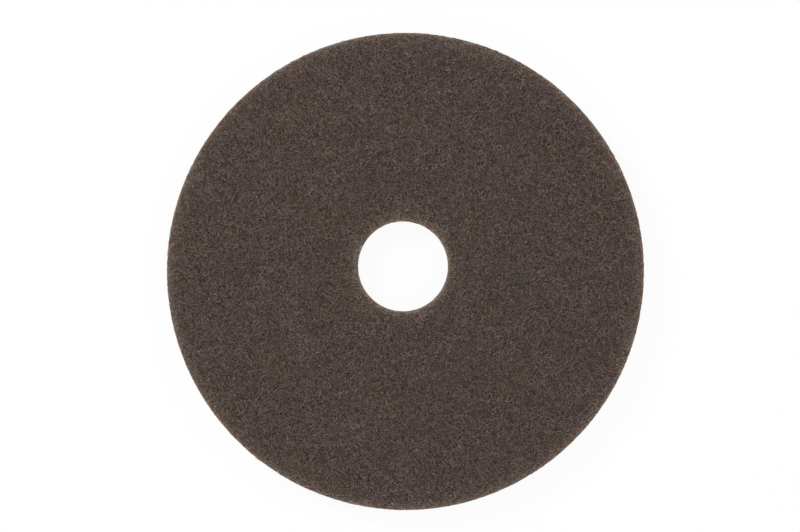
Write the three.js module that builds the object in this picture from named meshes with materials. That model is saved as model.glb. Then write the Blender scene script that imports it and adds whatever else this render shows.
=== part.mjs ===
import * as THREE from "three";

// Round floor machine pad, die-cut in one piece from a thick non-woven fibre web.
// Millimetres, +Z up. The origin is the centre of the face that lies on the floor.
// +Y is the top of the photograph and +X its right.

// Outer size: a 17 inch pad, 1 inch thick
const PAD_DIAMETER = 432;
const PAD_THICKNESS = 25.4;

// The central hole, as cut: a little smaller than its 3 1/4 inch die, and slightly off centre
const HOLE_DIAMETER = 81;
const HOLE_CENTRE_X = -2.2;
const HOLE_CENTRE_Y = 4.6;

// The press softens all four rims of the web, by this much across and down
const RIM_ROUND = 2.8;

// A rim takes at most this share of the thickness, so that the side wall keeps a straight stretch
const RIM_SHARE_LIMIT = 0.45;

// How finely the round stretches are cut into flats
const OUTER_FLATS = 144;
const HOLE_FLATS = 72;
const RIM_STEPS = 5;

const WEB_COLOUR = 0x4d423d;
const WEB_ROUGHNESS = 0.95;

// Points of a circle, anticlockwise, with no repeated end point
function circlePoints(radius, centreX, centreY, count) {
  const points = [];
  for (let i = 0; i < count; i++) {
    const angle = (i / count) * 2 * Math.PI;
    points.push(new THREE.Vector2(centreX + radius * Math.cos(angle), centreY + radius * Math.sin(angle)));
  }
  return points;
}

// The ring that the die cuts, seen from above
function padOutline() {
  const outline = new THREE.Shape(circlePoints(PAD_DIAMETER / 2, 0, 0, OUTER_FLATS));
  const hole = circlePoints(HOLE_DIAMETER / 2, HOLE_CENTRE_X, HOLE_CENTRE_Y, HOLE_FLATS);
  outline.holes.push(new THREE.Path(hole));
  return outline;
}

// The whole pad: the outline through the thickness, with its rims rounded over towards both faces
function padGeometry() {
  const round = Math.min(RIM_ROUND, RIM_SHARE_LIMIT * PAD_THICKNESS);
  const geometry = new THREE.ExtrudeGeometry(padOutline(), {
    depth: PAD_THICKNESS - 2 * round,
    bevelEnabled: true,
    bevelThickness: round,
    bevelSize: round,
    bevelOffset: -round,
    bevelSegments: RIM_STEPS,
    steps: 1,
  });
  return geometry.translate(0, 0, round);
}

const web = new THREE.MeshStandardMaterial({ color: WEB_COLOUR, roughness: WEB_ROUGHNESS, metalness: 0 });

const padDisc = new THREE.Mesh(padGeometry(), web);
padDisc.name = "pad_disc";

const pad = new THREE.Group();
pad.add(padDisc);

export default pad;
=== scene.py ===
"""Dresses a round floor machine pad: a disc cut by a die from a thick, open web of bonded fibres."""
import math

import bpy
import numpy as np
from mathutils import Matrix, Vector, noise


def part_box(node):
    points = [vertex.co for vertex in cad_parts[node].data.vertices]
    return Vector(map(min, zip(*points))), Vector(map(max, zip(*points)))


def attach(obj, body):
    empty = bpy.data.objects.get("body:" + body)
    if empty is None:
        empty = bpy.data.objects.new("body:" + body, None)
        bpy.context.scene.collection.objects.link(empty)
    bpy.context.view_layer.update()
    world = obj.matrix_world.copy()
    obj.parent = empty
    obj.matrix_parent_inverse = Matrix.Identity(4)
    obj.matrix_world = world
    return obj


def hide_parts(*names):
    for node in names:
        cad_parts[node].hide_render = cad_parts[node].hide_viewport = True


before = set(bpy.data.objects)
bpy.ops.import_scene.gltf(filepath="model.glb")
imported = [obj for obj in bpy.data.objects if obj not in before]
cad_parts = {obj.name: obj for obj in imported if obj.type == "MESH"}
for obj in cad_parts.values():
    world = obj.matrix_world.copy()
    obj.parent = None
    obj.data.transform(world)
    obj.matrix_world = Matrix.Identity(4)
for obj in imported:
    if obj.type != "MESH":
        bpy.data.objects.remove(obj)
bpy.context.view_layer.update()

MM = 0.001

# The disc, as the frame gives it, and how far its solid's rims are rounded over
DISC_LOW, DISC_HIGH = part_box("pad_disc")
OUTER_RADIUS = (DISC_HIGH[0] - DISC_LOW[0]) / 2
THICKNESS = DISC_HIGH[2] - DISC_LOW[2]
RIM_ROUND = 2.8 * MM

# The photograph's frame: it looks straight down from far away, a little off the disc's centre
FRAME_PIXELS = (800, 532)
DISC_CENTRE_PIXEL = (405.45, 271.45)
PIXEL_SIZE = 0.9036 * MM
CAMERA_HEIGHT = 3.0
CAMERA_REACH = 50.0
SENSOR_WIDTH = 36.0

# The web's ground, which the outermost fibres lie over, and its lumps: their size and height
GROUND_DEPTH = 0.9 * MM
GROUND_SIDE_DEPTH = 0.5 * MM
GROUND_CORNER = 2.4 * MM
GROUND_LUMPS = ((11.0 * MM, 0.18 * MM), (4.2 * MM, 0.12 * MM))

# How finely the ground is cut: round the disc, across a face, down a wall, and round each rim
GROUND_AROUND = 420
GROUND_ACROSS = 60
GROUND_WALL = 10
GROUND_ARC = 5
GROUND_SIDE = GROUND_WALL + 2 * GROUND_ARC

# The ground's baked map: a disc for each face, and the walls in strips in a corner that the discs leave
DISC_MAP_RADIUS = 0.285
TOP_MAP_CENTRE = (0.293, 0.293)
UNDER_MAP_CENTRE = (0.707, 0.707)
OUTER_STRIPS = 5
STRIP_CORNER = (0.02, 0.62)
STRIP_WIDTH = 0.37
STRIP_HEIGHT = 0.045
STRIP_PITCH = 0.06

# One fibre: its thickness, how much thinner its ends are, how late it thins towards them, and its length
FIBRE_RADIUS = 0.20 * MM
FIBRE_TAPER = 0.45
TAPER_POWER = 4
FIBRE_LENGTH = (4.0 * MM, 9.0 * MM)

# Its tube's stretches and sides, and the steps in which each stretch of its path is worked out
FIBRE_SEGMENTS = 3
FIBRE_SIDES = 3
SUB_STEPS = 6

# How much a fibre curls, in radians for each metre, and the angles and lengths of its crimps
CURL_PER_METRE = 70.0
CRIMP_ANGLE = (0.12, 0.55)
CRIMP_LENGTH = (5.0 * MM, 9.0 * MM)

# How deep a fibre's ends and its highest stretch lie, under the flat face and behind a cut wall
END_DEPTH = 1.15 * MM
FACE_DEPTH = (0.25 * MM, 0.95 * MM)
WALL_DEPTH = (0.22 * MM, 0.60 * MM)

# How flat-topped a fibre's rise is, the share of it that ripples, and in how many half waves
ARCH_POWER = 0.6
RIPPLE = 0.15
RIPPLE_HALF_WAVES = 3

# A face's fibres end this far short of a cut edge. One that keeps fewer steps than this is left out.
CUT_MARGIN = 0.35 * MM
SHORTEST_CUT = 6

# This share of the fibres has come loose and stands up to this far proud
TOP_LOOSE = (0.07, 0.7 * MM)
RIM_LOOSE = (0.008, 0.6 * MM)
NONE_LOOSE = (0.0, 0.0)

# The fibres' shades from dark to light: their mean, their spread, and how much painted shade darkens a deep
# one
SHADE = (0.50, 0.25)
DEEP_PAINTED_SHADE = 0.25

# The baked map of a fibre piece holds one cell for each fibre, with a margin round it
MAP_COLUMNS = 56
MAP_MARGIN = 0.12

# How many places for fibres each piece has, and how far a fibre lies off its place
FACE_PLACES = 10000
UNDERSIDE_PLACES = 10000
RIM_PLACES = 8200
BORE_PLACES = 1900
CENTRE_STRAY = 1.6 * MM
GOLDEN_ANGLE = math.pi * (3 - math.sqrt(5))

# How far the headings stray from level on a wall, in radians
WALL_STRAY = 0.45

# Colours, linear: painted shade in the ground's gaps, its threads with the deeper ones painted shaded, and
# the fibres
GAP_SHADE_COLOUR = (0.009, 0.0035, 0.0015)
DEEP_SHADED_COLOUR = (0.050, 0.034, 0.028)
HIGH_COLOUR = (0.184, 0.1375, 0.1165)
FIBRE_DARK = (0.052, 0.034, 0.027)
FIBRE_LIGHT = (0.360, 0.288, 0.254)

# The web's patches of other hues, as factors on its colour
TAN_SHIFT = (1.03, 1.00, 0.94)
MAUVE_SHIFT = (0.98, 0.99, 1.04)
OLIVE_SHIFT = (0.978, 1.00, 1.00)
RUST_SHIFT = (1.026, 1.00, 0.995)

# The noise of those patches: size, detail, seed, then the values at which it is all one hue
SMALL_TINT = ((7 * MM, 2, 11), (0.38, 0.62))
LARGE_TINT = ((38 * MM, 1, 12), (0.35, 0.65))
RUST_TINT = ((34 * MM, 5, 13), (0.38, 0.62))
SMALL_TINT_SHARE = 0.6

# Painted light: the web is painted paler near its cut edges, where light shines through the open web,
# by this gain and this added colour. It fades away from the edge in two parts, a broad one and a narrow
# one, each with its share.
EDGE_LIGHT_GAIN = (1.55, 1.50, 1.42)
EDGE_LIGHT_ADDED = (0.066, 0.0515, 0.0390)
EDGE_FADE = 4.6 * MM
EDGE_SHARE = 0.95
RIM_FADE = 1.6 * MM
RIM_SHARE = 0.42

# That painted light is uneven: its noise's size, detail and seed, then the noise's factor and what it adds
# to
EDGE_LIGHT_NOISE = (4 * MM, 2, 31)
EDGE_LIGHT_UNEVEN = (1.6, 0.2)

# Down a wall that painted light falls off to this share, between these depths
WALL_LIGHT_SHARE = 0.50
WALL_FADE = (1.2 * MM, 11.0 * MM)

# The layers part here and there on a wall: the noise of the gaps, its values where they start and are
# full, how flat they are, how far below a face they start and are full, how dark their painted shade is,
# and how deep they are
VOID_NOISE = (7.0 * MM, 1, 6)
VOID_SPAN = (0.50, 0.38)
VOID_SQUEEZE = 3.0
VOID_FADE = (1.0 * MM, 3.0 * MM)
VOID_PAINTED_SHADE = 0.55
VOID_DEPTH = 0.8

# The painted threads of the ground lie in layers, each with two crossing ways and each turned on from
# the last. Next come their spacing, how drawn out they are, how far the noise is off its middle value
# at their edges and at their cores, and the height of the lowest layer for the highest one's 1.
THREAD_LAYERS = 3
THREAD_SPACING = 1.0 * MM
THREAD_STRETCH = 3.5
THREAD_WIDTH = 0.045
THREAD_CORE = 0.3 * THREAD_WIDTH
LOWEST_THREAD = 0.4

# The threads wander, by this much over this length
WANDER = 10.0 * MM
WANDER_LENGTH = 25.0 * MM

# Small gaps between the threads: how far apart, how long for their width, which ways they lie, how far
# from their centres they end and are full in shares of their spacing, how dark their painted shade is, and
# how deep they are
GAP_SPACING = 1.25 * MM
GAP_STRETCH = 1.6
GAP_ANGLES = (0.4, 2.0)
GAP_REACH = (0.40, 0.22)
GAP_PAINTED_SHADE = 0.68
GAP_DEPTH = 0.7

# The surface: its fine grit, the grit's factor in the roughness and what it adds to, and its faint gloss
GRIT_NOISE = (0.35 * MM, 2, 21)
ROUGHNESS = (0.2, 0.78)
SPECULAR = 0.25

# The bump's strength, and its distance on the ground and on the fibres
BUMP_STRENGTH = 0.8
GROUND_RELIEF = 0.5 * MM
FIBRE_RELIEF = 0.15 * MM

# Grains of resin and mineral on the fibres: their noise, its values where they start and are full, and
# how dark they are
GRAIN_NOISE = (0.6 * MM, 3, 5)
GRAIN_SPAN = (0.45, 0.30)
GRAIN_DARKNESS = 0.55

# Noise is squeezed upright by this much, as the web is laid in layers
LAYERING = 1.7


def hole_of(node):
    """The centre and radius of the disc's hole, whose vertices lie well inside the outer circle."""
    vertices = np.array([v.co[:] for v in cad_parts[node].data.vertices])
    inner = vertices[np.hypot(vertices[:, 0], vertices[:, 1]) < OUTER_RADIUS / 2, :2]
    centre = (inner.min(axis=0) + inner.max(axis=0)) / 2
    radius = np.hypot(*(inner - centre).T).min()
    return centre, float(radius)


HOLE_CENTRE, HOLE_RADIUS = hole_of("pad_disc")


def edge_distance(plan):
    """How far each point of the plan lies from the nearer cut edge, positive on the web."""
    to_outer = OUTER_RADIUS - np.hypot(plan[..., 0], plan[..., 1])
    to_hole = np.hypot(plan[..., 0] - HOLE_CENTRE[0], plan[..., 1] - HOLE_CENTRE[1]) - HOLE_RADIUS
    return np.minimum(to_outer, to_hole)


def add_piece(name, mesh, material):
    """A new piece of the pad. It rides on the one body and takes the given finish in a slot of its own."""
    piece = bpy.data.objects.new(name, mesh)
    bpy.context.scene.collection.objects.link(piece)
    mesh.materials.append(material)
    mesh.shade_smooth()
    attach(piece, "root")
    return piece


# The ground of the web

def ground_section():
    """The loop round the web's section: rows of share of its width, offset, height and outward normal."""
    half = THICKNESS / 2 - GROUND_DEPTH
    straight = half - GROUND_CORNER
    rows = []

    def face(level, shares):
        for share in shares:
            rows.append((share, GROUND_CORNER * (1 - 2 * share), level * half, 0, level))

    def arc(share, level, start):
        for k in range(GROUND_ARC):
            angle = start - k / GROUND_ARC * math.pi / 2
            offset = GROUND_CORNER * (math.cos(angle) + 1 - 2 * share)
            height = level * straight + GROUND_CORNER * math.sin(angle)
            rows.append((share, offset, height, math.cos(angle), math.sin(angle)))

    def wall(share, levels):
        for level in levels:
            rows.append((share, 0, level * straight, 2 * share - 1, 0))

    outward = np.linspace(0, 1, GROUND_ACROSS, endpoint=False)
    downward = np.linspace(1, -1, GROUND_WALL, endpoint=False)
    face(1, outward)
    arc(1, 1, math.pi / 2)
    wall(1, downward)
    arc(1, -1, 0)
    face(-1, 1 - outward)
    arc(0, -1, -math.pi / 2)
    wall(0, -downward)
    arc(0, 1, math.pi)
    return np.array(rows)


def lumps(points):
    """How far the web stands proud at each point."""
    heights = np.zeros(len(points))
    for size, height in GROUND_LUMPS:
        heights += [height * noise.noise(Vector(p)) for p in points / size]
    return heights


def ground_map(grid, i, j):
    """Where each corner of each quad lies on the ground's baked map."""
    turn = GROUND_ACROSS + GROUND_SIDE
    corner_i = np.stack([i, i, i + 1, i + 1], axis=-1)
    corner_j = np.stack([j, j + 1, j + 1, j], axis=-1)
    plan = grid[corner_i % GROUND_AROUND, corner_j % (2 * turn), :2] * DISC_MAP_RADIUS / OUTER_RADIUS
    top = TOP_MAP_CENTRE + plan
    under = UNDER_MAP_CENTRE + plan * (-1, 1)

    on_outer = (j < turn)[..., None]
    outer_strip = (i * OUTER_STRIPS // GROUND_AROUND)[..., None]
    around = corner_i / GROUND_AROUND
    strip = np.where(on_outer, outer_strip, OUTER_STRIPS)
    reach = np.where(on_outer, around * OUTER_STRIPS - outer_strip, around)
    down = ((corner_j - GROUND_ACROSS) % turn) / GROUND_SIDE
    wall_u = STRIP_CORNER[0] + STRIP_WIDTH * reach
    wall_v = STRIP_CORNER[1] + STRIP_PITCH * strip + STRIP_HEIGHT * down
    wall = np.stack([wall_u, wall_v], axis=-1)

    on_face = (j % turn < GROUND_ACROSS)[..., None, None]
    face = np.where(on_outer[..., None], top, under)
    return np.where(on_face, face, wall)


def ground_mesh():
    """The web's ground: the section carried round between the eccentric hole and the outer edge."""
    section = ground_section()
    angle = np.arange(GROUND_AROUND) * 2 * math.pi / GROUND_AROUND
    spoke = np.stack([np.cos(angle), np.sin(angle)], axis=1)
    outer = (OUTER_RADIUS - GROUND_SIDE_DEPTH) * spoke
    inner = HOLE_CENTRE + (HOLE_RADIUS + GROUND_SIDE_DEPTH) * spoke
    width = np.linalg.norm(outer - inner, axis=1)
    along = (outer - inner) / width[:, None]
    reach = section[:, 0] * width[:, None] + section[:, 1]
    plan = inner[:, None] + reach[:, :, None] * along[:, None]
    height = np.broadcast_to(THICKNESS / 2 + section[:, 2], reach.shape)
    sideways = section[:, 3, None] * along[:, None]
    upright = np.broadcast_to(section[:, 4], reach.shape)
    points = np.concatenate([plan, height[..., None]], axis=2).reshape(-1, 3)
    normals = np.concatenate([sideways, upright[..., None]], axis=2).reshape(-1, 3)
    points = points + normals * lumps(points)[:, None]

    rows = len(section)
    i, j = np.meshgrid(np.arange(GROUND_AROUND), np.arange(rows), indexing="ij")
    next_i = (i + 1) % GROUND_AROUND
    next_j = (j + 1) % rows
    corners = [i * rows + j, i * rows + next_j, next_i * rows + next_j, next_i * rows + j]
    quads = np.stack(corners, axis=2).reshape(-1, 4)
    mesh = bpy.data.meshes.new("web_body")
    mesh.from_pydata(points.tolist(), [], quads.tolist())
    layer = mesh.uv_layers.new(name="OFBake")
    places = ground_map(points.reshape(GROUND_AROUND, rows, 3), i, j)
    layer.data.foreach_set("uv", places.ravel())
    return mesh


# The fibres

def crimped_paths(rng, count, stray):
    """Plane paths of crimped fibres, each centred on the origin: (count, points, 2)."""
    steps = FIBRE_SEGMENTS * SUB_STEPS
    if stray is None:
        heading = rng.uniform(0, 2 * math.pi, count)
    else:
        heading = rng.normal(0, stray, count)
    length = rng.uniform(*FIBRE_LENGTH, count)
    curl = rng.normal(0, CURL_PER_METRE, count)
    crimp = rng.uniform(*CRIMP_ANGLE, count)
    wave = 2 * math.pi / rng.uniform(*CRIMP_LENGTH, count)
    phase = rng.uniform(0, 2 * math.pi, count)
    run = (np.arange(steps) + 0.5) / steps - 0.5
    run = run * length[:, None]
    angle = heading[:, None] + curl[:, None] * run
    angle += crimp[:, None] * np.sin(wave[:, None] * run + phase[:, None])
    stride = (length / steps)[:, None]
    path = np.stack([np.cos(angle) * stride, np.sin(angle) * stride], axis=2).cumsum(axis=1)
    path = np.concatenate([np.zeros((count, 1, 2)), path], axis=1)
    return path - path[:, steps // 2, None]


def cut_paths(paths, inside):
    """Keeps each path's stretch round its middle that is inside, and resamples it to the fibre's points."""
    middle = paths.shape[1] // 2
    last = paths.shape[1] - 1
    ahead = np.cumprod(inside[:, middle:], axis=1).sum(axis=1) - 1
    behind = np.cumprod(inside[:, middle::-1], axis=1).sum(axis=1) - 1
    keep = inside[:, middle] & (ahead + behind >= SHORTEST_CUT)
    start = (middle - behind)[keep]
    stretch = (ahead + behind)[keep]
    place = start[:, None] + stretch[:, None] * np.linspace(0, 1, FIBRE_SEGMENTS + 1)
    whole = np.minimum(place.astype(int), last - 1)
    part = (place - whole)[:, :, None]
    rows = np.arange(len(start))[:, None]
    kept = paths[keep]
    return kept[rows, whole] * (1 - part) + kept[rows, whole + 1] * part


def fibre_depths(rng, count, layer, loose):
    """How deep each point of each fibre lies: the ends are sunk in the ground, the rest rises over it.

    The highest stretch lies between the layer's two depths, or stands proud where the fibre is loose.
    """
    share, rise = loose
    top = rng.uniform(*layer, count)
    is_loose = rng.uniform(0, 1, count) < share
    top = np.where(is_loose, -rng.uniform(0, 1, count) * rise, top)
    run = np.linspace(0, 1, FIBRE_SEGMENTS + 1)
    arch = np.sin(math.pi * run) ** ARCH_POWER
    wave = np.sin(rng.uniform(0, 2 * math.pi, (count, 1)) + RIPPLE_HALF_WAVES * math.pi * run)
    ripple = (1 - RIPPLE) + RIPPLE * wave
    return END_DEPTH - (END_DEPTH - top[:, None]) * arch * ripple, top


def spread_places(rng, count):
    """Places spread evenly over the whole disc, on a spiral, each a little off it."""
    number = np.arange(count) + 0.5
    radius = OUTER_RADIUS * np.sqrt(number / count)
    turn = number * GOLDEN_ANGLE + rng.uniform(0, 2 * math.pi)
    places = np.stack([radius * np.cos(turn), radius * np.sin(turn)], axis=1)
    return places + rng.normal(0, CENTRE_STRAY, places.shape)


def face_fibres(rng, places, level, loose):
    """Fibres that lie over a face: level is 1 for the upper face and -1 for the underside."""
    middles = spread_places(rng, places)
    paths = middles[:, None] + crimped_paths(rng, places, None)
    plan = cut_paths(paths, edge_distance(paths) > CUT_MARGIN)
    depth, top = fibre_depths(rng, len(plan), FACE_DEPTH, loose)
    inset = np.clip(RIM_ROUND - edge_distance(plan), 0, RIM_ROUND)
    drop = RIM_ROUND - np.sqrt(RIM_ROUND**2 - inset**2)
    height = THICKNESS / 2 + level * (THICKNESS / 2 - drop - depth)
    centres = np.concatenate([plan, height[:, :, None]], axis=2)
    normals = np.broadcast_to([0.0, 0.0, float(level)], centres.shape)
    return centres, normals, top


def wall_fibres(rng, places, centre, radius, out, loose):
    """Fibres that lie along a cut wall and over its rims: out is 1 on the outer edge and -1 in the hole."""
    straight = THICKNESS / 2 - RIM_ROUND
    reach = straight + RIM_ROUND * math.pi / 2
    round_length = 2 * math.pi * radius
    middles = np.stack([rng.uniform(0, round_length, places), rng.uniform(-reach, reach, places)], axis=1)
    paths = middles[:, None] + crimped_paths(rng, places, WALL_STRAY)
    plan = cut_paths(paths, np.abs(paths[:, :, 1]) < reach)
    depth, top = fibre_depths(rng, len(plan), WALL_DEPTH, loose)
    side = np.sign(plan[:, :, 1])
    lean = np.clip((np.abs(plan[:, :, 1]) - straight) / RIM_ROUND, 0, math.pi / 2)
    along = np.cos(lean)
    up = side * np.sin(lean)
    inset = RIM_ROUND * (1 - along) + depth * along
    height = THICKNESS / 2 + np.clip(plan[:, :, 1], -straight, straight) + (RIM_ROUND - depth) * up
    angle = plan[:, :, 0] / radius
    spoke = np.stack([np.cos(angle), np.sin(angle)], axis=2)
    place = centre + (radius - out * inset)[:, :, None] * spoke
    centres = np.concatenate([place, height[:, :, None]], axis=2)
    normals = np.concatenate([out * along[:, :, None] * spoke, up[:, :, None]], axis=2)
    return centres, normals, top


def unit(vectors):
    return vectors / np.linalg.norm(vectors, axis=-1, keepdims=True)


def tube_points(centres, normals):
    """The rings of points round each fibre, thinner towards its ends: (fibres, points, sides, 3)."""
    tangents = unit(np.gradient(centres, axis=1))
    across = unit(np.cross(tangents, normals))
    up = np.cross(across, tangents)
    turn = math.pi / 2 + np.arange(FIBRE_SIDES) * 2 * math.pi / FIBRE_SIDES
    run = np.linspace(-1, 1, centres.shape[1])
    thickness = FIBRE_RADIUS * (1 - FIBRE_TAPER * run**TAPER_POWER)
    ring = np.cos(turn)[:, None] * across[:, :, None] + np.sin(turn)[:, None] * up[:, :, None]
    return centres[:, :, None] + thickness[:, None, None] * ring


def tube_faces(count, points):
    """The quads along each fibre, then its two end triangles, with their places in the fibre's map cell."""
    k, j = np.meshgrid(np.arange(points - 1), np.arange(FIBRE_SIDES), indexing="ij")
    k = k.ravel()
    j = j.ravel()
    next_j = (j + 1) % FIBRE_SIDES
    ring = FIBRE_SIDES
    quads = np.stack([k * ring + j, (k + 1) * ring + j, (k + 1) * ring + next_j, k * ring + next_j], axis=1)
    along = np.stack([k, k + 1, k + 1, k], axis=1) / (points - 1)
    around = np.stack([j, j, j + 1, j + 1], axis=1) / FIBRE_SIDES
    end = (points - 1) * ring
    caps = np.array([[0, 1, 2], [end + 2, end + 1, end]])
    cap_along = np.array([[0, 0, 0], [1, 1, 1]])
    cap_around = np.array([[0, 1, 2], [2, 1, 0]]) / FIBRE_SIDES
    base = (np.arange(count) * points * ring)[:, None, None]
    faces = (base + quads).reshape(-1, 4).tolist() + (base + caps).reshape(-1, 3).tolist()

    column = (np.arange(count) % MAP_COLUMNS)[:, None, None]
    row = (np.arange(count) // MAP_COLUMNS)[:, None, None]
    rows = math.ceil(count / MAP_COLUMNS)
    room = 1 - 2 * MAP_MARGIN
    maps = []
    for u, v in ((along, around), (cap_along, cap_around)):
        cell_u = (column + MAP_MARGIN + room * u) / MAP_COLUMNS
        cell_v = (row + MAP_MARGIN + room * v) / rows
        maps.append(np.stack([cell_u, cell_v], axis=3).reshape(-1, 2))
    return faces, np.concatenate(maps)


def fibre_piece(name, fibres, rng, material):
    """One piece of closed fibre tubes, with each fibre's own shade, painted darker as shade where it lies
    deep.
    """
    centres, normals, top = fibres
    count, points = centres.shape[:2]
    vertices = tube_points(centres, normals).reshape(-1, 3)
    vertices[:, 2] = np.maximum(vertices[:, 2], 0)
    faces, places = tube_faces(count, points)
    mesh = bpy.data.meshes.new(name)
    mesh.from_pydata(vertices.tolist(), [], faces)
    # Painted shade: the deeper a fibre lies, the darker its shade, on top of its random tone
    sunk = np.clip((top - FACE_DEPTH[0]) / (FACE_DEPTH[1] - FACE_DEPTH[0]), 0, 1)
    shade = np.clip(rng.normal(*SHADE, count) - DEEP_PAINTED_SHADE * sunk, 0, 1)
    attribute = mesh.attributes.new("shade", "FLOAT", "POINT")
    attribute.data.foreach_set("value", np.repeat(shade, points * FIBRE_SIDES))
    layer = mesh.uv_layers.new(name="OFBake")
    layer.data.foreach_set("uv", places.ravel())
    return add_piece(name, mesh, material)


# Materials

class Painter:
    """Adds nodes to one material and joins them. An input that is a socket is linked, a value is set."""

    def __init__(self, name):
        self.material = bpy.data.materials.new(name)
        self.material.use_nodes = True
        self.tree = self.material.node_tree
        self.shader = self.tree.nodes["Principled BSDF"]
        self.place = self.add("ShaderNodeTexCoord").outputs["Object"]
        self.layered = self.scaled((1, 1, LAYERING))

    def add(self, kind, inputs=None, **settings):
        node = self.tree.nodes.new(kind)
        for key, value in settings.items():
            setattr(node, key, value)
        self.feed(node, inputs or {})
        return node

    def feed(self, node, inputs):
        for key, value in inputs.items():
            if isinstance(value, bpy.types.NodeSocket):
                self.tree.links.new(value, node.inputs[key])
            else:
                node.inputs[key].default_value = value

    def scaled(self, factors):
        node = self.add("ShaderNodeVectorMath", {0: self.place, 1: factors}, operation="MULTIPLY")
        return node.outputs[0]

    def math(self, operation, first, second=0.0, third=0.0):
        node = self.add("ShaderNodeMath", {0: first, 1: second, 2: third}, operation=operation)
        return node.outputs[0]

    def span(self, value, low, high):
        """0 where the value is low, 1 where it is high, and smooth between."""
        inputs = {"Value": value, "From Min": low, "From Max": high}
        node = self.add("ShaderNodeMapRange", inputs, interpolation_type="SMOOTHSTEP")
        return node.outputs["Result"]

    def noise(self, size, detail, seed, place=None):
        """Smooth noise with lumps of that size, from 0 to 1."""
        inputs = {"Vector": place or self.layered, "W": seed, "Scale": 1 / size, "Detail": detail}
        node = self.add("ShaderNodeTexNoise", inputs, noise_dimensions="4D")
        return node.outputs["Fac"]

    def mix(self, share, first, second, blend="MIX"):
        inputs = {0: share, 6: as_colour(first), 7: as_colour(second)}
        node = self.add("ShaderNodeMix", inputs, data_type="RGBA", blend_type=blend)
        return node.outputs[2]


def as_colour(value):
    """A colour input takes four numbers; a socket passes through."""
    return value if isinstance(value, bpy.types.NodeSocket) else (*value, 1.0)


def distance_from(paint, centre):
    """The plan distance of the shaded point from an upright axis."""
    moved = paint.add("ShaderNodeVectorMath", {0: paint.place, 1: (*centre, 0)}, operation="SUBTRACT")
    flat = paint.add("ShaderNodeVectorMath", {0: moved.outputs[0], 1: (1, 1, 0)}, operation="MULTIPLY")
    return paint.add("ShaderNodeVectorMath", {0: flat.outputs[0]}, operation="LENGTH").outputs["Value"]


def down_wall(paint, start, end):
    """0 down to the start below the nearer face, 1 from the end on."""
    height = paint.add("ShaderNodeSeparateXYZ", {0: paint.place}).outputs["Z"]
    off_middle = paint.math("ABSOLUTE", paint.math("SUBTRACT", height, THICKNESS / 2))
    return paint.span(off_middle, THICKNESS / 2 - start, THICKNESS / 2 - end)


def painted_edge_light(paint):
    """How strongly the painted light of the cut edges shows: most at a rim, fading over the face and down
    the wall.
    """
    to_outer = paint.math("SUBTRACT", OUTER_RADIUS, distance_from(paint, (0, 0)))
    to_hole = paint.math("SUBTRACT", distance_from(paint, HOLE_CENTRE), HOLE_RADIUS)
    nearest = paint.math("MAXIMUM", paint.math("MINIMUM", to_outer, to_hole), 0.0)
    broad = paint.math("EXPONENT", paint.math("DIVIDE", nearest, -EDGE_FADE))
    narrow = paint.math("EXPONENT", paint.math("DIVIDE", nearest, -RIM_FADE))
    fade = paint.math("MULTIPLY_ADD", narrow, RIM_SHARE, paint.math("MULTIPLY", broad, EDGE_SHARE))
    down = down_wall(paint, *WALL_FADE)
    fade = paint.math("MULTIPLY", fade, paint.math("MULTIPLY_ADD", down, WALL_LIGHT_SHARE - 1, 1.0))
    uneven = paint.math("MULTIPLY_ADD", paint.noise(*EDGE_LIGHT_NOISE), *EDGE_LIGHT_UNEVEN)
    return paint.math("MULTIPLY", fade, uneven)


def patches(paint, tint):
    """0 on one of the tint's two hues and 1 on the other."""
    pattern, limits = tint
    return paint.span(paint.noise(*pattern), *limits)


def tint_and_edge_light(paint, colour):
    """The colour with the web's patches of other hues, and painted light near its cut edges."""
    small = paint.math("MULTIPLY", patches(paint, SMALL_TINT), SMALL_TINT_SHARE)
    patch = paint.math("MULTIPLY_ADD", patches(paint, LARGE_TINT), 1 - SMALL_TINT_SHARE, small)
    shift = paint.mix(patch, TAN_SHIFT, MAUVE_SHIFT)
    colour = paint.mix(1.0, colour, shift, "MULTIPLY")
    rust = patches(paint, RUST_TINT)
    colour = paint.mix(1.0, colour, paint.mix(rust, OLIVE_SHIFT, RUST_SHIFT), "MULTIPLY")
    # Painted light: the web is painted paler near its cut edges, where light shines through it
    glow = painted_edge_light(paint)
    colour = paint.mix(1.0, colour, paint.mix(glow, (1, 1, 1), EDGE_LIGHT_GAIN), "MULTIPLY")
    return paint.mix(1.0, colour, paint.mix(glow, (0, 0, 0), EDGE_LIGHT_ADDED), "ADD")


def wandering(paint):
    """The place of the shaded point, moved smoothly this way and that."""
    drift = {"Vector": paint.layered, "Scale": 1 / WANDER_LENGTH, "Detail": 0}
    drift = paint.add("ShaderNodeTexNoise", drift).outputs["Color"]
    moved = {0: drift, 1: (WANDER, WANDER, WANDER), 2: paint.layered}
    return paint.add("ShaderNodeVectorMath", moved, operation="MULTIPLY_ADD").outputs[0]


def drawn_out(paint, place, angle, stretch):
    """The place turned by the angle, for a pattern that is then drawn out that way."""
    turned = paint.add("ShaderNodeVectorRotate", {"Vector": place, "Angle": angle}, rotation_type="Z_AXIS")
    drawn = {0: turned.outputs[0], 1: (1 / stretch, 1, 1)}
    return paint.add("ShaderNodeVectorMath", drawn, operation="MULTIPLY").outputs[0]


def thread(paint, place, angle, seed):
    """1 on thin threads that lie about that way: where drawn-out noise passes its middle value."""
    drawn = drawn_out(paint, place, angle, THREAD_STRETCH)
    value = paint.noise(THREAD_SPACING, 0, seed, place=drawn)
    off = paint.math("ABSOLUTE", paint.math("SUBTRACT", value, 0.5))
    return paint.span(off, THREAD_WIDTH, THREAD_CORE)


def small_gaps(paint, place):
    """1 in small gaps that lie several ways, round the centres of drawn-out cells."""
    found = 0.0
    for angle in GAP_ANGLES:
        cells = {"Vector": drawn_out(paint, place, angle, GAP_STRETCH), "Scale": 1 / GAP_SPACING}
        cells = paint.add("ShaderNodeTexVoronoi", cells)
        found = paint.math("MAXIMUM", found, paint.span(cells.outputs["Distance"], *GAP_REACH))
    return found


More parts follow.
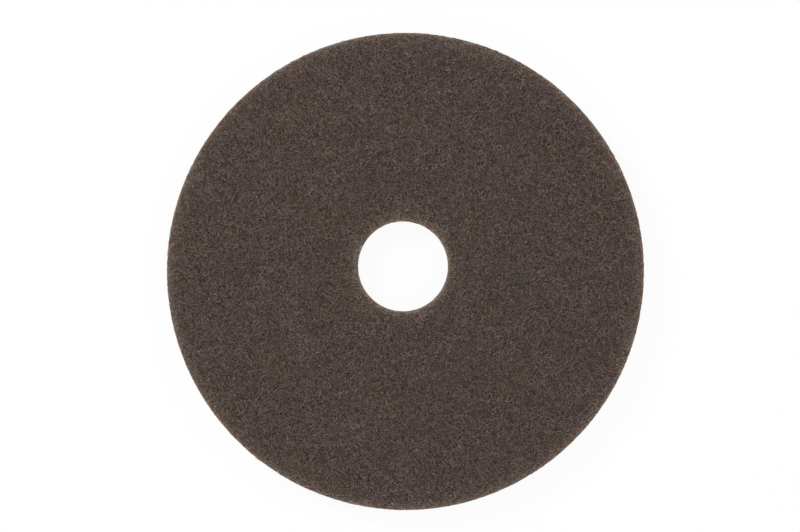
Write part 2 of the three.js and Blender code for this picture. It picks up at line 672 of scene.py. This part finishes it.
def crossing_threads(paint):
    """The colour and height of threads that cross over gaps of painted shade, the deeper ones painted
    shaded, the higher paler.
    """
    place = wandering(paint)
    colour = GAP_SHADE_COLOUR
    height = 0.0
    for layer in range(THREAD_LAYERS):
        level = layer / (THREAD_LAYERS - 1)
        # Painted shade: the deeper a layer of threads lies, the darker it is painted
        depth_shaded_tone = paint.mix(level, DEEP_SHADED_COLOUR, HIGH_COLOUR)
        for crossing in (0, 1):
            angle = (crossing + layer / THREAD_LAYERS) * math.pi / 2
            line = thread(paint, place, angle, 2 * layer + crossing + 1)
            colour = paint.mix(line, colour, depth_shaded_tone)
            rise = paint.math("MULTIPLY", line, LOWEST_THREAD + (1 - LOWEST_THREAD) * level)
            height = paint.math("MAXIMUM", height, rise)
    # Painted shade: the small gaps are painted dark, like the ground under the threads
    gaps = small_gaps(paint, place)
    colour = paint.mix(paint.math("MULTIPLY", gaps, GAP_PAINTED_SHADE), colour, GAP_SHADE_COLOUR)
    height = paint.math("MULTIPLY_ADD", gaps, -GAP_DEPTH, height)
    return colour, height


def finish(paint, colour, height, relief):
    """Joins the colour, the matt roughness and the bump to the shader."""
    rough = paint.math("MULTIPLY_ADD", paint.noise(*GRIT_NOISE), *ROUGHNESS)
    bump = {"Strength": BUMP_STRENGTH, "Distance": relief, "Height": height}
    bump = paint.add("ShaderNodeBump", bump)
    paint.feed(paint.shader, {
        "Base Color": colour,
        "Roughness": rough,
        "Normal": bump.outputs["Normal"],
        "Specular IOR Level": SPECULAR,
    })
    return paint.material


def ground_material():
    """The deeper web: threads crossing over gaps of painted shade, and painted shade where its layers part
    on a wall.
    """
    paint = Painter("web_ground")
    colour, height = crossing_threads(paint)
    colour = tint_and_edge_light(paint, colour)
    flattened = paint.scaled((1, 1, VOID_SQUEEZE))
    parted = paint.span(paint.noise(*VOID_NOISE, place=flattened), *VOID_SPAN)
    parted = paint.math("MULTIPLY", parted, down_wall(paint, *VOID_FADE))
    # Painted shade: where the layers part, the web is painted darker
    void_shade = paint.math("MULTIPLY", parted, VOID_PAINTED_SHADE)
    colour = paint.mix(void_shade, colour, (0, 0, 0))
    height = paint.math("MULTIPLY_ADD", parted, -VOID_DEPTH, height)
    return finish(paint, colour, height, GROUND_RELIEF)


def fibre_material():
    """The outermost fibres: each has its own shade, with painted shade where it lies deep, and grains of
    resin and mineral on it.
    """
    paint = Painter("web_fibre")
    shade = paint.add("ShaderNodeAttribute", attribute_name="shade").outputs["Fac"]
    grain = paint.noise(*GRAIN_NOISE)
    colour = paint.mix(shade, FIBRE_DARK, FIBRE_LIGHT)
    darker = paint.mix(GRAIN_DARKNESS, colour, (0, 0, 0))
    colour = paint.mix(paint.span(grain, *GRAIN_SPAN), colour, darker)
    return finish(paint, tint_and_edge_light(paint, colour), grain, FIBRE_RELIEF)


# The pad

ground = add_piece("web_body", ground_mesh(), ground_material())
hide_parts("pad_disc")

fibre_finish = fibre_material()
face_layouts = (
    ("top_fibres_1", 101, FACE_PLACES, 1, TOP_LOOSE),
    ("top_fibres_2", 102, FACE_PLACES, 1, TOP_LOOSE),
    ("bottom_fibres", 103, UNDERSIDE_PLACES, -1, NONE_LOOSE),
)
for name, seed, places, level, loose in face_layouts:
    draw = np.random.default_rng(seed)
    fibre_piece(name, face_fibres(draw, places, level, loose), draw, fibre_finish)

wall_layouts = (
    ("rim_fibres", 104, RIM_PLACES, (0, 0), OUTER_RADIUS, 1, RIM_LOOSE),
    ("bore_fibres", 105, BORE_PLACES, HOLE_CENTRE, HOLE_RADIUS, -1, NONE_LOOSE),
)
for name, seed, places, centre, radius, out, loose in wall_layouts:
    draw = np.random.default_rng(seed)
    fibre_piece(name, wall_fibres(draw, places, centre, radius, out, loose), draw, fibre_finish)


# Floor, light and camera

WORLD_LEVEL = 0.50
FLOOR_SIZE = 12.0
FLOOR_OWN_LIGHT = 0.93
LAMPS = (
    # place, size, power
    ((-1.6, 1.3, 1.9), 0.9, 40.0),
    ((1.8, 0.6, 2.0), 2.0, 12.0),
    ((0.2, -1.9, 1.8), 2.0, 10.0),
)


def seen_directly(tree):
    """1 where the ray comes from the camera, a reflection or a clear pane, so that all three see white."""
    path = tree.nodes.new("ShaderNodeLightPath")
    value = path.outputs["Is Camera Ray"]
    for other in ("Is Glossy Ray", "Is Transmission Ray"):
        either = tree.nodes.new("ShaderNodeMath")
        either.operation = "MAXIMUM"
        tree.links.new(value, either.inputs[0])
        tree.links.new(path.outputs[other], either.inputs[1])
        value = either.outputs[0]
    return value


def make_world():
    world = bpy.data.worlds.new("studio")
    bpy.context.scene.world = world
    world.use_nodes = True
    tree = world.node_tree
    background = tree.nodes["Background"]
    background.inputs["Color"].default_value = (1, 1, 1, 1)
    level = tree.nodes.new("ShaderNodeMapRange")
    level.inputs["To Min"].default_value = WORLD_LEVEL
    tree.links.new(seen_directly(tree), level.inputs["Value"])
    tree.links.new(level.outputs["Result"], background.inputs["Strength"])


def make_floor():
    half = FLOOR_SIZE / 2
    mesh = bpy.data.meshes.new("floor")
    corners = [(-half, -half, 0), (half, -half, 0), (half, half, 0), (-half, half, 0)]
    mesh.from_pydata(corners, [], [(0, 1, 2, 3)])
    floor = bpy.data.objects.new("floor", mesh)
    bpy.context.scene.collection.objects.link(floor)
    material = bpy.data.materials.new("floor_white")
    material.use_nodes = True
    tree = material.node_tree
    tree.nodes.clear()
    paint = tree.nodes.new("ShaderNodeBsdfDiffuse")
    paint.inputs["Color"].default_value = (1, 1, 1, 1)
    glow = tree.nodes.new("ShaderNodeEmission")
    share = tree.nodes.new("ShaderNodeMath")
    share.operation = "MULTIPLY"
    share.inputs[1].default_value = FLOOR_OWN_LIGHT
    tree.links.new(seen_directly(tree), share.inputs[0])
    both = tree.nodes.new("ShaderNodeMixShader")
    tree.links.new(share.outputs[0], both.inputs[0])
    tree.links.new(paint.outputs[0], both.inputs[1])
    tree.links.new(glow.outputs[0], both.inputs[2])
    output = tree.nodes.new("ShaderNodeOutputMaterial")
    tree.links.new(both.outputs[0], output.inputs["Surface"])
    mesh.materials.append(material)


def make_lamps():
    for number, (place, size, power) in enumerate(LAMPS, 1):
        data = bpy.data.lights.new(f"lamp_{number}", "AREA")
        data.size = size
        data.energy = power
        lamp = bpy.data.objects.new(f"lamp_{number}", data)
        lamp.location = place
        lamp.rotation_euler = (-Vector(place)).to_track_quat("-Z", "Y").to_euler()
        bpy.context.scene.collection.objects.link(lamp)


def make_camera():
    """Straight down, from where the disc's centre falls on its pixel of the photograph."""
    data = bpy.data.cameras.new("camera")
    camera = bpy.data.objects.new("camera", data)
    bpy.context.scene.collection.objects.link(camera)
    right = DISC_CENTRE_PIXEL[0] - FRAME_PIXELS[0] / 2
    down = DISC_CENTRE_PIXEL[1] - FRAME_PIXELS[1] / 2
    camera.location = (-right * PIXEL_SIZE, down * PIXEL_SIZE, CAMERA_HEIGHT)
    rim_distance = CAMERA_HEIGHT - (THICKNESS - RIM_ROUND)
    data.sensor_width = SENSOR_WIDTH
    data.lens = SENSOR_WIDTH * rim_distance / (FRAME_PIXELS[0] * PIXEL_SIZE)
    data.clip_end = CAMERA_REACH
    bpy.context.scene.camera = camera


make_world()
make_floor()
make_lamps()
make_camera()
bpy.context.scene.view_settings.view_transform = "Standard"
